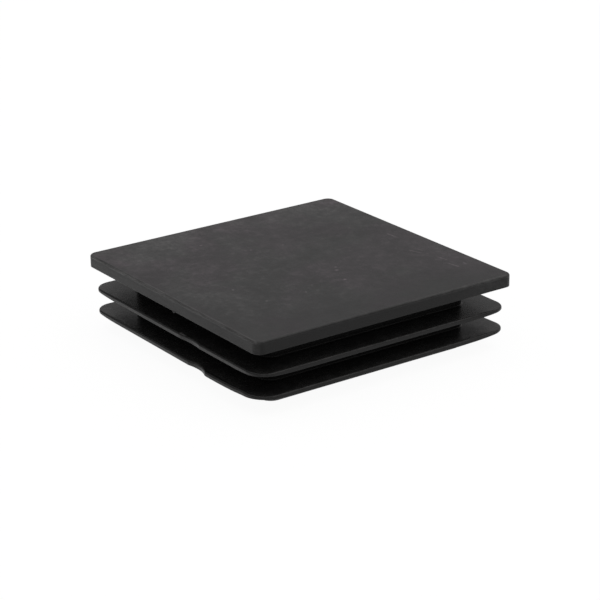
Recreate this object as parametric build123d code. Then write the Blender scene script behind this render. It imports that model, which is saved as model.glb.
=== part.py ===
from build123d import *
import math
import os

# Square tube end plug: one moulded piece.
# Millimetres. The origin is the centre of the seating plane under the head, +Z out through the head.
# -X is the side with the nicked fins, -Y the side to the right of it in the photo.

# Head plate that covers the cut end of the tube
head_side = 100.0
head_thickness = 4.15
head_corner_r = 2.8
head_top_edge_r = 0.75

# Square hollow core that goes down into the tube
core_depth = 21.7
core_corner_r = 4.5
core_wall = 2.4
core_draft_deg = 0.75
rim_chamfer = 0.4

# Hollow inside the core
roof_thickness = 3.0
roof_corner = 0.8
gate_r = 1.9
gate_height = 0.6

# Two thin fins that grip the tube wall: each edge lies a little inside the head's and well outside the core's
fin_inset = 0.75
fin_overhang = 9.65
fin_edge_thickness = 1.55
fin_root_thickness = 2.9
fin_corner_r = 5.8
fin_edge_r = 0.55
fin_under_chamfer = 0.15
root_chamfer = 0.3
upper_fin_top = 7.15
lower_fin_to_rim = 4.0

# Worn front corners of the fins
upper_worn_r = 6.6
lower_worn_r = 7.8

# Corner of the lower fin at +X and -Y, bent up along a line across it
bent_length = 20.0
bent_rise = 0.4

# Arc nick in the lower fin, and the lip of plastic pushed out beside it, placed from the fin's front edge
nick_from_front = 34.95
nick_length = 8.8
nick_depth = 0.72
lip_under_nick = 1.5
lip_peak_from_front = 24.75
lip_height = 0.85
lip_end_from_front = 10.05
lip_rise_slope = 0.45
lip_fall_slope = 0.12
lip_joint = 1.0

# Shallow knock in the upper fin, above the nick
knock_from_front = 38.25
knock_length = 11.0
knock_depth = 0.5
burr_from_front = 42.65
burr_length = 4.4
burr_height = 0.28
burr_inset = 0.3
burr_width = 0.9

# Small nub on the head's lower edge, above the knock
nub_from_front = 46.2
nub_length = 1.6
nub_drop = 0.35
nub_proud = 0.15
nub_root = 0.7

head_half = head_side / 2
fin_half = head_half - fin_inset
core_half = fin_half - fin_overhang
lower_fin_top = core_depth - lower_fin_to_rim - fin_root_thickness
nick_y = nick_from_front - fin_half
lip_peak_y = lip_peak_from_front - fin_half
lip_end_y = lip_end_from_front - fin_half
knock_y = knock_from_front - fin_half
burr_y = burr_from_front - fin_half
nub_y = nub_from_front - head_half


def rounded_square(half, radii):
    # radii run back, left, front, right: the corners (+,+), (-,+), (-,-), (+,-)
    corners = [(half, half), (-half, half), (-half, -half), (half, -half)]
    face = make_face(Polyline(*corners, close=True).edges())
    for (x, y), r in zip(corners, radii):
        at = face.vertices().sort_by_distance((x, y, 0))[0]
        face = fillet([at], r)
    return face


def even_square(half, r):
    return rounded_square(half, (r, r, r, r))


def arc_cut(y, length, depth, half):
    # a round-bottomed bite into the -X edge, given by its length along the edge and its depth
    r = (length ** 2 / 4 + depth ** 2) / (2 * depth)
    return Pos(-half - r + depth, y) * Circle(r)


def lip(start_y):
    start, peak, end = (-fin_half, start_y), (-fin_half - lip_height, lip_peak_y), (-fin_half, lip_end_y)
    outer = Spline(start, peak, end, tangents=[(-lip_rise_slope, -1), (lip_fall_slope, -1)])
    inner = Polyline(end, (-fin_half + lip_joint, lip_end_y), (-fin_half + lip_joint, start_y), start)
    return make_face((outer + inner).edges())


def upper_outline():
    face = rounded_square(fin_half, (fin_corner_r, fin_corner_r, upper_worn_r, fin_corner_r))
    return face - arc_cut(knock_y, knock_length, knock_depth, fin_half)


def lower_outline():
    face = rounded_square(fin_half, (fin_corner_r, fin_corner_r, lower_worn_r, fin_corner_r))
    face = face + lip(nick_y - nick_length / 2 + lip_under_nick)
    return face - arc_cut(nick_y, nick_length, nick_depth, fin_half)


def fin(outline, top):
    # flat on top; the underside climbs outward from the core at one slope, so the corners end thinner
    plate = extrude(outline, -fin_root_thickness)
    climb = (fin_root_thickness - fin_edge_thickness) / (fin_half - core_half)
    root = Pos(0, 0, -fin_root_thickness) * even_square(core_half, core_corner_r)
    plate = plate & extrude(root, fin_root_thickness, taper=-math.degrees(math.atan(1 / climb)))
    plate = fillet(plate.faces().sort_by(Axis.Z)[-1].edges(), fin_edge_r)
    return Pos(0, 0, -top) * chamfer(under_edges(plate), fin_under_chamfer)


def under_edges(plate):
    # the edges all round between a fin's narrow side and its underside
    lowest = -fin_edge_thickness - (fin_root_thickness - fin_edge_thickness) / 4

    def at_rim(e):
        return lowest < e.center().Z < -fin_edge_r - 0.01 and abs(e.tangent_at(0.5).Z) < 0.5
    return plate.edges().filter_by(at_rim)


def bend_corner(plate, base):
    # the corner (+,-) beyond a line across it turns up about that line; base is the fin's lowest level
    near, far = (fin_half - bent_length, -fin_half), (fin_half, bent_length - fin_half)
    beyond = [near, far, (far[0] + bent_length, far[1]), (near[0], near[1] - bent_length)]
    zone = Pos(0, 0, base) * extrude(make_face(Polyline(*beyond, close=True).edges()), fin_root_thickness)
    reach = bent_length / math.sqrt(2)
    hinge = Axis((*near, base), (1, 1, 0))
    turned = (plate & zone).rotate(hinge, -math.degrees(math.atan(bent_rise / reach)))
    return (plate - zone) + turned


def head():
    plate = extrude(even_square(head_half, head_corner_r), head_thickness)
    top_rim = plate.faces().sort_by(Axis.Z)[-1].edges()
    return fillet(top_rim, head_top_edge_r)


def swell(length, height, depth):
    # a low round-backed ridge: its foot lies along local X, its back stands up along local Y
    r = (length ** 2 / 4 + height ** 2) / (2 * height)
    profile = Pos(0, height - r) * Circle(r) & Pos(0, height / 2) * Rectangle(length, height)
    return extrude(profile, depth)


def nub():
    spot = Plane(origin=(-head_half + nub_root, nub_y, 0), x_dir=(0, 1, 0), z_dir=(-1, 0, 0))
    return spot * swell(nub_length, nub_drop, nub_root + nub_proud)


def burr():
    spot = Plane(origin=(-fin_half + burr_inset, burr_y, -upper_fin_top), x_dir=(0, 1, 0), z_dir=(1, 0, 0))
    return spot * swell(burr_length, burr_height, burr_width)


def core():
    return extrude(even_square(core_half, core_corner_r), -core_depth)


def core_loop(body, z):
    # the edges of the core's own outline at one height
    def on_core(e):
        at = e.center()
        reach = max(abs(at.X), abs(at.Y))
        return abs(at.Z - z) < 0.01 and reach < core_half + 0.01
    return body.edges().filter_by(on_core)


def soften_roots(body):
    for z in (0, -upper_fin_top, -lower_fin_top):
        body = chamfer(core_loop(body, z), root_chamfer)
    return chamfer(core_loop(body, -core_depth), rim_chamfer)


def hollow():
    mouth = Pos(0, 0, -core_depth) * even_square(core_half - core_wall, core_corner_r)
    height = core_depth + head_thickness - roof_thickness
    space = extrude(mouth, height, taper=core_draft_deg)
    ceiling = space.faces().sort_by(Axis.Z)[-1].edges()
    return chamfer(ceiling, roof_corner)


def gate_mark():
    # the broken-off gate stands out of the middle of the ceiling
    stub = Cylinder(gate_r, gate_height, align=(Align.CENTER, Align.CENTER, Align.MAX))
    return Pos(0, 0, head_thickness - roof_thickness) * stub


def end_plug():
    upper = fin(upper_outline(), upper_fin_top)
    lower = bend_corner(fin(lower_outline(), lower_fin_top), -lower_fin_top - fin_root_thickness)
    body = head() + core() + upper + lower
    body = soften_roots(body) - hollow()
    return body + gate_mark() + nub() + burr()


os.makedirs("parts", exist_ok=True)
export_step(end_plug(), "parts/end_plug.step")
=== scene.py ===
import math

import bpy
from mathutils import Matrix, Vector


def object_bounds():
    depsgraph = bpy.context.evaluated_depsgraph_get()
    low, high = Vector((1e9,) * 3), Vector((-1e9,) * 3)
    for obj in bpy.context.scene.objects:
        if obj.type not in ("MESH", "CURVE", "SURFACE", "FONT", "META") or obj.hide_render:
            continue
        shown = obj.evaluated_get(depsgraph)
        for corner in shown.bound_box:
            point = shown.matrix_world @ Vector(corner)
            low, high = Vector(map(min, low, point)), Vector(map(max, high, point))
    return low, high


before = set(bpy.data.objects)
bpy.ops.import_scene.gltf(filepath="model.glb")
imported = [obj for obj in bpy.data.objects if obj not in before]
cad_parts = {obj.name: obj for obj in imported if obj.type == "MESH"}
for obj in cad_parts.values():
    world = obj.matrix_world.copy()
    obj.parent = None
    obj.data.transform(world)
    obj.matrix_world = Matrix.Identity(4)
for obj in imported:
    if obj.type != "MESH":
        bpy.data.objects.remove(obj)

CAD_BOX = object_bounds()

# Camera: direction, distance and framing that match the photograph
CAM_AZIMUTH = -35.309
CAM_ELEVATION = 20.864
CAM_ROLL = -0.601
CAM_DISTANCE = 0.68526
CAM_SLIDE_RIGHT = 0.00103
CAM_SLIDE_UP = -0.00815
CAM_LENS = 125.336
CAM_SENSOR = 36.0
CAM_NEAR = 0.05
CAM_FAR = 20.0

# Sky brightness by the sine of the elevation: behind the object, then behind the camera.
# One turns into the other within SKY_TURN either side of the camera's plane.
SKY_BACK = ((0.0, 0.27), (0.25, 0.29), (0.42, 0.31), (0.62, 0.60), (0.78, 1.0))
SKY_FRONT = ((0.0, 0.18), (0.25, 0.22), (0.42, 0.31), (0.62, 0.65), (0.78, 1.0))
SKY_TURN = 0.7
SKY_LEVEL = 1.4
SKY_TINT = (1.0, 0.988, 0.992)
# Share of that brightness far out at the left and at the right, reached between these two sines
SKY_LEFT = 0.65
SKY_RIGHT = 1.2
SKY_SIDES = (0.2, 0.75)

# Floor: how much of the object's shadow shows to the camera and in reflections, how brightly
# the floor glows there so that it still looks white, and the grey that it lights the object with
FLOOR_SIZE = 14.0
SHADE_SEEN = 0.06
GLOW_SEEN = 1.0 - 0.9 * SHADE_SEEN
SHADE_MIRRORED = 0.38
GLOW_MIRRORED = 0.92 - SHADE_MIRRORED
FLOOR_BOUNCE = 0.45

# Plastic: heights and sizes on the part, in metres
HEAD_TOP = 0.00415
HEAD_EDGE = 0.050
UPPER_FIN = 0.00715
LOWER_FIN = 0.0148
FIN_RIM = 0.00045

# A name that ends in STEP holds where a soft change begins and where it is complete, here from
# one zone of the plastic to the next; four numbers also say from what level to what level
HEAD_STEP = (-0.0004, 0.0004)
TOP_STEP = (HEAD_TOP - 0.00035, HEAD_TOP - 0.0001)
BORDER_STEP = (HEAD_EDGE - 0.0011, HEAD_EDGE - 0.0005)
LEFT_SIDE_STEP = (-HEAD_EDGE + 0.0018, -HEAD_EDGE + 0.0008)
BAND_SOFTNESS = 0.2

# Noise: scale, detail and roughness
CLOUDS = (58.0, 7.0, 0.82)
BLOTCHES = (230.0, 4.0, 0.75)
STREAKS = (210.0, 5.0, 0.75)
GRAIN = (560.0, 5.0, 0.9)
PORES = (5200.0, 2.0, 0.5)
TINT = (36.0, 3.0, 0.6)
EDGE_BREAKS = (420.0, 4.0, 0.7)
HAIRS = (1.0, 2.0, 0.5)
LENGTHWISE = (1.0, 0.22, 3.0)
HAIR_SCALE = (1100.0, 60.0, 60.0)
HAIR_TURN = 0.3
DOT_SCALE = 190.0

# Base colour, its share on the upper rims of the left-hand fins, where it is darker as painted
# shade, and the darkest that any place gets
BASE_BLACK = 0.0085
SHADED_RIM_SHARE = 0.7
DARKEST = 0.003

# Film of scuffing on the head's top, and painted light: how much lighter the film makes the
# plastic all over, and how much lighter painted light makes it over the middle and in broad
# patches, most towards the back; a patch says along which axes it comes in, from where to where.
# After each kind of mark comes how noise breaks it up: the noise's reach, and the swing.
FILM_ALL = 0.0040
PAINTED_LIGHT_MIDDLE = 0.0054
MIDDLE = (("Y", -0.044, -0.026), ("X", -0.052, -0.040))
PAINTED_LIGHT_PATCHES = (
    (0.0100, (("Y", 0.022, 0.044),)),
    (0.0026, (("X", -0.005, -0.040), ("Y", -0.035, 0.0))),
    (-0.0024, (("X", 0.0, 0.014),)),
    (0.0045, (("X", 0.032, 0.047),)),
    (0.0070, (("X+Y", 0.060, 0.092),)),
)
TOP_CLOUDS = (0.25, 0.75)
TOP_GRAIN = (0.17, 0.76)
FLECKS = 0.0062
FLECK_STEP = (0.48, 0.64)

# Painted light on the left-hand side of the fins and of the head, the head's growing from its
# front to its back, broken up in lengthwise streaks
SIDE_LIGHT_FINS = 0.026
SIDE_LIGHT_HEAD_STEP = (-0.005, 0.05, 0.0145, 0.026)
SIDE_STREAKS = (0.25, 0.65)
SIDE_GRAIN = (0.22, 0.5)

# Dust and painted light on the fins, more painted light on all their corners but the near one, and
# painted light on the head's right-hand end
DUST_AND_LIGHT_ALL = 0.004
LIT_CORNERS_STEP = (0.022, 0.040, 0.0, 0.018)
LIT_CORNERS_RIGHT_STEP = (0.0, 0.030, 1.0, 0.4)
NEAR_CORNER_STEP = (-0.080, -0.040)
CORE_STEP = (0.0398, 0.0405)
FIN_END_STEP = (0.0490, 0.0485)
HEAD_END_LIGHT_STEP = (0.020, 0.050, 0.0, 0.012)
DUST_AND_LIGHT_BLOTCHES = (0.15, 0.9)
DUST_AND_LIGHT_GRAIN = (0.22, 0.6)

# Painted highlights: lines along the head's upper edge, with an arris on the left-hand side, and
# along the fins' upper rims
EDGE_LIGHT_ALL = 0.008
EDGE_LIGHT_RIGHT_STEP = (-0.010, 0.030, 0.0, 0.012)
EDGE_LIGHT_LEFT = 0.021
UPPER_EDGE_STEP = (HEAD_TOP - 0.0011, HEAD_TOP - 0.0006)
ARRIS_BAND = (HEAD_TOP - 0.0010, HEAD_TOP - 0.0004)
ARRIS_STEP = (-0.030, 0.030, 0.006, 0.034)
FIN_EDGE_LIGHT = 0.014
FIN_LINE_STEP = (0.0485, 0.0489)
EDGE_BREAKS_STEP = (0.34, 0.66, 0.45, 1.4)

# Hair scratches, and small dots over the middle: how near a cell's centre, and in which cells
HAIR_LIGHT = 0.0035
HAIR_STEP = (0.60, 0.70)
DOT_LIGHT = 0.016
DOT_STEP = (0.10, 0.05)
DOT_CELLS_STEP = (0.5, 0.55)

# Single marks on the head's top: specks with place and radius, and scratches from end to end
SPECKS = (
    (0.0080, -0.0106, 0.0007), (0.0066, -0.0131, 0.0009), (0.0036, -0.0216, 0.0008),
    (-0.0155, 0.0337, 0.0007), (-0.0305, -0.0081, 0.0006), (-0.0275, -0.0226, 0.0006),
    (-0.0131, -0.0235, 0.0005), (-0.0079, -0.0195, 0.0004), (-0.0046, 0.0198, 0.0005),
    (0.0068, 0.0175, 0.0005),
)
SPECK_LIGHT = 0.062
SPECK_CORE = 0.3
SCRATCHES = (
    (0.0371, -0.0118, 0.0389, -0.0169), (0.0407, -0.0231, 0.0414, -0.0274),
    (0.0396, -0.0296, 0.0403, -0.0349), (0.0401, -0.0128, 0.0407, -0.0152),
    (0.0418, 0.0060, 0.0420, 0.0008), (0.0437, -0.0322, 0.0440, -0.0340),
)
SCRATCH_LIGHT = 0.046
SCRATCH_ENDS_STEP = (0.6, 0.25)
SCRATCH_WIDTH_STEP = (0.0004, 0.0001)
SCRATCH_GRAIN_STEP = (0.35, 0.6, 0.4, 1.3)

# Tint of all the above: two that take turns over the top, and the one on all other faces
TINT_GREY = (0.995, 0.965, 0.955, 1)
TINT_PINK = (1.06, 0.88, 0.975, 1)
TINT_SIDES = (1.0, 0.985, 0.98, 1)
TINT_STEP = (0.42, 0.58)

# Gloss, softened edges and fine grain
ROUGH_HEAD = 0.36
ROUGH_SIDES = 0.42
ROUGH_FINS = 0.29
ROUGH_CLOUDS_STEP = (0.3, 0.7, 0.03, -0.03)
ROUGH_GRAIN_STEP = (0.3, 0.7, -0.038, 0.038)
IOR = 1.3
EDGE_ROUNDING = 0.0004
HEAD_ROUNDING_SHARE = 0.25
BEVEL_SAMPLES = 8
PORES_SHARE = 0.35
BUMP_STRENGTH = 0.6
BUMP_DEPTH = 0.00003


def add_camera():
    a, e = math.radians(CAM_AZIMUTH), math.radians(CAM_ELEVATION)
    back = Vector((math.sin(a) * math.cos(e), -math.cos(a) * math.cos(e), math.sin(e)))
    level = Vector((math.cos(a), math.sin(a), 0.0))
    rise = back.cross(level)
    r = math.radians(CAM_ROLL)
    right = level * math.cos(r) + rise * math.sin(r)
    up = rise * math.cos(r) - level * math.sin(r)
    place = right * CAM_SLIDE_RIGHT + up * CAM_SLIDE_UP + back * CAM_DISTANCE
    data = bpy.data.cameras.new("camera")
    data.lens = CAM_LENS
    data.sensor_width = CAM_SENSOR
    data.clip_start = CAM_NEAR
    data.clip_end = CAM_FAR
    camera = bpy.data.objects.new("camera", data)
    bpy.context.scene.collection.objects.link(camera)
    turn = Matrix((right, up, back)).transposed().to_4x4()
    camera.matrix_world = Matrix.Translation(place) @ turn
    bpy.context.scene.camera = camera


class Nodes:
    # a thin helper for building node trees
    def __init__(self, tree):
        self.tree = tree
        tree.nodes.clear()

    def put(self, value, socket):
        if isinstance(value, bpy.types.NodeSocket):
            self.tree.links.new(value, socket)
        else:
            socket.default_value = value

    def add(self, kind, inputs=None, **settings):
        node = self.tree.nodes.new("ShaderNode" + kind)
        for key, value in settings.items():
            setattr(node, key, value)
        for key, value in (inputs or {}).items():
            self.put(value, node.inputs[key])
        return node

    def math(self, operation, *values):
        return self.add("Math", dict(enumerate(values)), operation=operation).outputs[0]

    def product(self, *values):
        result = values[0]
        for value in values[1:]:
            result = self.math("MULTIPLY", result, value)
        return result

    def total(self, *values):
        result = values[0]
        for value in values[1:]:
            result = self.math("ADD", result, value)
        return result

    def dot(self, a, b):
        return self.add("VectorMath", {0: a, 1: b}, operation="DOT_PRODUCT").outputs["Value"]

    def outside(self, mask):
        # 1 where the mask is 0, and the other way round
        return self.math("SUBTRACT", 1.0, mask)

    def step(self, value, low, high, to_low=0.0, to_high=1.0):
        # a smooth change from to_low to to_high while value goes from low to high
        names = ("Value", "From Min", "From Max", "To Min", "To Max")
        inputs = dict(zip(names, (value, low, high, to_low, to_high)))
        return self.add("MapRange", inputs, interpolation_type="SMOOTHSTEP").outputs[0]

    def band(self, value, low, high):
        # 1 from low to high, coming in softly across low and going out softly just above high
        soft = (high - low) * BAND_SOFTNESS
        coming = self.step(value, low - soft, low + soft)
        return self.product(coming, self.step(value, high + soft * 2, high + soft))

    def vary(self, pattern, reach, swing):
        # a factor from 1 - swing to 1 + swing, for a noise that reaches so far about one half
        return self.step(pattern, 0.5 - reach, 0.5 + reach, 1.0 - swing, 1.0 + swing)

    def noise(self, where, scale, detail, rough):
        inputs = {"Vector": where, "Scale": scale, "Detail": detail, "Roughness": rough}
        return self.add("TexNoise", inputs).outputs[0]

    def mapping(self, where, scale, turn=0.0):
        inputs = {"Vector": where, "Scale": scale, "Rotation": (0, 0, turn)}
        return self.add("Mapping", inputs).outputs[0]

    def mix(self, factor, a, b):
        # a where factor is 0, b where it is 1
        return self.math("MULTIPLY_ADD", factor, self.math("SUBTRACT", b, a), a)

    def mix_colour(self, factor, a, b):
        # the same for colours; a Mix node keeps its colour inputs at 6 and 7
        node = self.add("Mix", data_type="RGBA")
        for index, value in ((0, factor), (6, a), (7, b)):
            self.put(value, node.inputs[index])
        return node.outputs[2]

    def ramp(self, value, stops):
        node = self.add("ValToRGB", {"Fac": value})
        elements = node.color_ramp.elements
        while len(elements) < len(stops):
            elements.new(0.5)
        for element, (place, level) in zip(elements, stops):
            element.position = place
            element.color = (*(level * share for share in SKY_TINT), 1)
        return node.outputs["Color"]


def add_world():
    world = bpy.data.worlds.new("studio")
    bpy.context.scene.world = world
    world.use_nodes = True
    n = Nodes(world.node_tree)
    ray = n.add("TexCoord").outputs["Generated"]
    height = n.add("SeparateXYZ", {"Vector": ray}).outputs["Z"]
    a = math.radians(CAM_AZIMUTH)
    ahead = n.dot(ray, (-math.sin(a), math.cos(a), 0.0))
    aside = n.dot(ray, (math.cos(a), math.sin(a), 0.0))
    front, back = n.ramp(height, SKY_FRONT), n.ramp(height, SKY_BACK)
    sky = n.mix_colour(n.step(ahead, -SKY_TURN, SKY_TURN), front, back)
    inner, outer = SKY_SIDES
    left = n.step(aside, -outer, -inner, SKY_LEFT, 1.0)
    right = n.step(aside, inner, outer, 1.0, SKY_RIGHT)
    glow = n.add("Background", {"Color": sky, "Strength": n.product(left, right, SKY_LEVEL)})
    n.add("OutputWorld", {"Surface": glow.outputs["Background"]})


def add_floor():
    bottom = CAD_BOX[0].z
    bpy.ops.mesh.primitive_plane_add(size=FLOOR_SIZE, location=(0, 0, bottom))
    floor = bpy.context.object
    floor.name = "floor"
    mat = bpy.data.materials.new("floor_white")
    mat.use_nodes = True
    n = Nodes(mat.node_tree)
    path = n.add("LightPath").outputs

    def diffuse(level):
        return n.add("BsdfDiffuse", {"Color": (level, level, level, 1)}).outputs[0]

    def white(shade, glow):
        lit = n.add("Emission", {"Color": (1, 1, 1, 1), "Strength": glow}).outputs[0]
        return n.add("AddShader", {0: diffuse(shade), 1: lit}).outputs[0]

    def choose(mask, off, on):
        return n.add("MixShader", {0: mask, 1: off, 2: on}).outputs[0]

    mirrored = n.math("MAXIMUM", path["Is Glossy Ray"], path["Is Transmission Ray"])
    surface = choose(mirrored, diffuse(FLOOR_BOUNCE), white(SHADE_MIRRORED, GLOW_MIRRORED))
    surface = choose(path["Is Camera Ray"], surface, white(SHADE_SEEN, GLOW_SEEN))
    n.add("OutputMaterial", {"Surface": surface})
    floor.data.materials.append(mat)


def patch(n, at, steps):
    # 1 inside a patch of the surface, 0 outside
    return n.product(*(n.step(at[axis], start, full) for axis, start, full in steps))


def find_places(n, place):
    # coordinates on the part, and how far out a point is towards a side and towards a corner
    split = n.add("SeparateXYZ", {"Vector": place}).outputs
    x, y = split["X"], split["Y"]
    out_x, out_y = n.math("ABSOLUTE", x), n.math("ABSOLUTE", y)
    return {
        "X": x,
        "Y": y,
        "Z": split["Z"],
        "X+Y": n.total(x, y),
        "side": n.math("MAXIMUM", out_x, out_y),
        "corner": n.math("MINIMUM", out_x, out_y),
    }


def find_zones(n, at):
    # masks, 1 on a zone and 0 off it; one is the left-hand side of head and fins, where light and
    # shade are painted
    rims = (n.band(at["Z"], -depth - FIN_RIM, -depth) for depth in (UPPER_FIN, LOWER_FIN))
    return {
        "head": n.step(at["Z"], *HEAD_STEP),
        "top": n.step(at["Z"], *TOP_STEP),
        "border": n.step(at["side"], *BORDER_STEP),
        "left_side": n.step(at["X"], *LEFT_SIDE_STEP),
        "fin_rim": n.math("MAXIMUM", *rims),
        "middle": patch(n, at, MIDDLE),
    }


def find_patterns(n, place):
    lengthwise = n.mapping(place, LENGTHWISE)
    return {
        "clouds": n.noise(place, *CLOUDS),
        "blotches": n.noise(place, *BLOTCHES),
        "streaks": n.noise(lengthwise, *STREAKS),
        "grain": n.noise(place, *GRAIN),
        "pores": n.noise(place, *PORES),
        "tint": n.noise(place, *TINT),
        "edge_breaks": n.noise(lengthwise, *EDGE_BREAKS),
        "hairs": n.noise(n.mapping(place, HAIR_SCALE, HAIR_TURN), *HAIRS),
    }


def film_and_painted_light(n, at, zone, noise):
    # a light film of scuffing on the head's top, with light flecks over the middle; painted light
    # makes the top lighter over the middle and in broad patches towards the back
    patches = (n.product(patch(n, at, steps), level) for level, steps in PAINTED_LIGHT_PATCHES)
    brightening = n.total(FILM_ALL, n.product(zone["middle"], PAINTED_LIGHT_MIDDLE), *patches)
    brightening = n.product(brightening, n.vary(noise["clouds"], *TOP_CLOUDS))
    flecks = n.product(zone["middle"], n.step(noise["blotches"], *FLECK_STEP), FLECKS)
    speckle = n.vary(noise["grain"], *TOP_GRAIN)
    return n.product(n.total(brightening, flecks), speckle, zone["top"], n.outside(zone["border"]))


def painted_side_light(n, at, zone, noise):
    # painted light: the left-hand side of the head, and the side of the fins below their rims,
    # made lighter in lengthwise streaks
    brightening = n.mix(zone["head"], SIDE_LIGHT_FINS, n.step(at["Y"], *SIDE_LIGHT_HEAD_STEP))
    brightening = n.product(brightening, zone["left_side"], n.outside(zone["top"]), n.outside(zone["fin_rim"]))
    brightening = n.product(brightening, n.vary(noise["streaks"], *SIDE_STREAKS))
    return n.product(brightening, n.vary(noise["grain"], *SIDE_GRAIN))


def dust_and_painted_light(n, at, zone, noise):
    # dust and painted light on the fins, the painted light thicker on all their corners but the
    # near one, and less to the right;
    # and painted light on the head's right-hand end
    lit_corners = n.step(at["corner"], *LIT_CORNERS_STEP)
    lit_corners = n.product(lit_corners, n.step(at["X"], *LIT_CORNERS_RIGHT_STEP))
    fins = n.total(DUST_AND_LIGHT_ALL, n.product(lit_corners, n.step(at["X+Y"], *NEAR_CORNER_STEP)))
    fins = n.product(fins, n.outside(zone["head"]), n.step(at["side"], *CORE_STEP))
    fins = n.product(fins, n.step(at["side"], *FIN_END_STEP))
    end = n.product(n.step(at["X"], *HEAD_END_LIGHT_STEP), zone["head"], n.outside(zone["top"]))
    both = n.product(n.total(fins, end), n.vary(noise["blotches"], *DUST_AND_LIGHT_BLOTCHES))
    return n.product(both, n.vary(noise["grain"], *DUST_AND_LIGHT_GRAIN))


def edge_highlights(n, at, zone, noise):
    # painted highlights: lighter lines along the head's upper edge and the upper edges of the fins
    level = n.total(EDGE_LIGHT_ALL, n.step(at["X"], *EDGE_LIGHT_RIGHT_STEP))
    level = n.total(level, n.product(zone["left_side"], EDGE_LIGHT_LEFT))
    head = n.product(zone["border"], n.step(at["Z"], *UPPER_EDGE_STEP), level)
    arris = n.product(n.band(at["Z"], *ARRIS_BAND), zone["left_side"], zone["border"])
    arris = n.product(arris, n.step(at["Y"], *ARRIS_STEP))
    fins = n.product(zone["fin_rim"], n.step(at["side"], *FIN_LINE_STEP))
    fins = n.product(fins, n.outside(zone["left_side"]), FIN_EDGE_LIGHT)
    return n.product(n.total(head, arris, fins), n.step(noise["edge_breaks"], *EDGE_BREAKS_STEP))


def specks(n, at):
    found = 0.0
    for x, y, r in SPECKS:
        dx, dy = n.math("SUBTRACT", at["X"], x), n.math("SUBTRACT", at["Y"], y)
        away = n.math("SQRT", n.total(n.product(dx, dx), n.product(dy, dy)))
        found = n.math("MAXIMUM", found, n.step(away, r, r * SPECK_CORE))
    return found


def scratches(n, place):
    # each fades out towards its ends and across its width
    found = 0.0
    start, full = SCRATCH_ENDS_STEP
    for x0, y0, x1, y1 in SCRATCHES:
        long = math.hypot(x1 - x0, y1 - y0)
        ux, uy = (x1 - x0) / long, (y1 - y0) / long
        cx, cy = (x0 + x1) / 2, (y0 + y1) / 2
        along = n.math("SUBTRACT", n.dot(place, (ux, uy, 0)), cx * ux + cy * uy)
        along = n.step(n.math("ABSOLUTE", along), long * start, long * full)
        across = n.math("SUBTRACT", n.dot(place, (-uy, ux, 0)), cy * ux - cx * uy)
        across = n.step(n.math("ABSOLUTE", across), *SCRATCH_WIDTH_STEP)
        found = n.math("MAXIMUM", found, n.product(along, across))
    return found


def drawn_marks(n, at, zone, noise, place):
    # hair scratches all over the top, short scratches and single specks where the photo has
    # them, and small dots over the middle
    hairs = n.product(n.step(noise["hairs"], *HAIR_STEP), HAIR_LIGHT)
    short = n.product(scratches(n, place), n.step(noise["grain"], *SCRATCH_GRAIN_STEP))
    short = n.product(short, SCRATCH_LIGHT)
    spots = n.product(specks(n, at), SPECK_LIGHT)
    cells = n.add("TexVoronoi", {"Vector": place, "Scale": DOT_SCALE}).outputs
    dots = n.product(n.step(cells["Distance"], *DOT_STEP), n.step(cells["Color"], *DOT_CELLS_STEP))
    dots = n.product(dots, DOT_LIGHT, zone["middle"])
    return n.product(n.total(hairs, short, spots, dots), zone["top"])


def find_tint(n, zone, noise):
    # a faint tint that wanders over the flat of the top, and a plain one on all other faces
    tint = n.mix_colour(n.step(noise["tint"], *TINT_STEP), TINT_GREY, TINT_PINK)
    flat_top = n.product(zone["top"], n.outside(zone["border"]))
    return n.mix_colour(flat_top, TINT_SIDES, tint)


def black_plastic():
    mat = bpy.data.materials.new("black_plastic")
    mat.use_nodes = True
    n = Nodes(mat.node_tree)
    place = n.add("TexCoord").outputs["Object"]
    at = find_places(n, place)
    zone = find_zones(n, at)
    noise = find_patterns(n, place)

    # painted shade: the upper rims of the fins on the left-hand side are darker
    shaded_rim = n.product(zone["left_side"], zone["fin_rim"])
    light = n.total(
        n.mix(shaded_rim, BASE_BLACK, BASE_BLACK * SHADED_RIM_SHARE),
        film_and_painted_light(n, at, zone, noise),
        painted_side_light(n, at, zone, noise),
        dust_and_painted_light(n, at, zone, noise),
        edge_highlights(n, at, zone, noise),
        drawn_marks(n, at, zone, noise, place),
    )
    light = n.math("MAXIMUM", light, DARKEST)
    inputs = {0: find_tint(n, zone, noise), "Scale": light}
    colour = n.add("VectorMath", inputs, operation="SCALE").outputs["Vector"]

    rough = n.mix(zone["head"], ROUGH_FINS, ROUGH_SIDES)
    rough = n.mix(zone["top"], rough, ROUGH_HEAD)
    rough = n.total(rough, n.step(noise["clouds"], *ROUGH_CLOUDS_STEP))
    rough = n.total(rough, n.step(noise["grain"], *ROUGH_GRAIN_STEP))

    rounding = n.mix(zone["head"], EDGE_ROUNDING, EDGE_ROUNDING * HEAD_ROUNDING_SHARE)
    rounded = n.add("Bevel", {"Radius": rounding}, samples=BEVEL_SAMPLES).outputs[0]
    height = n.math("MULTIPLY_ADD", noise["pores"], PORES_SHARE, noise["grain"])
    bump = n.add("Bump", {
        "Height": height, "Strength": BUMP_STRENGTH, "Distance": BUMP_DEPTH, "Normal": rounded,
    }).outputs["Normal"]
    inputs = {"Base Color": colour, "Roughness": rough, "IOR": IOR, "Normal": bump}
    n.add("OutputMaterial", {"Surface": n.add("BsdfPrincipled", inputs).outputs[0]})
    return mat


def dress_plug():
    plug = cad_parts["end_plug"]
    plug.data.materials.clear()
    plug.data.materials.append(black_plastic())


def main():
    bpy.context.scene.view_settings.view_transform = "Standard"
    add_camera()
    add_world()
    add_floor()
    dress_plug()


main()
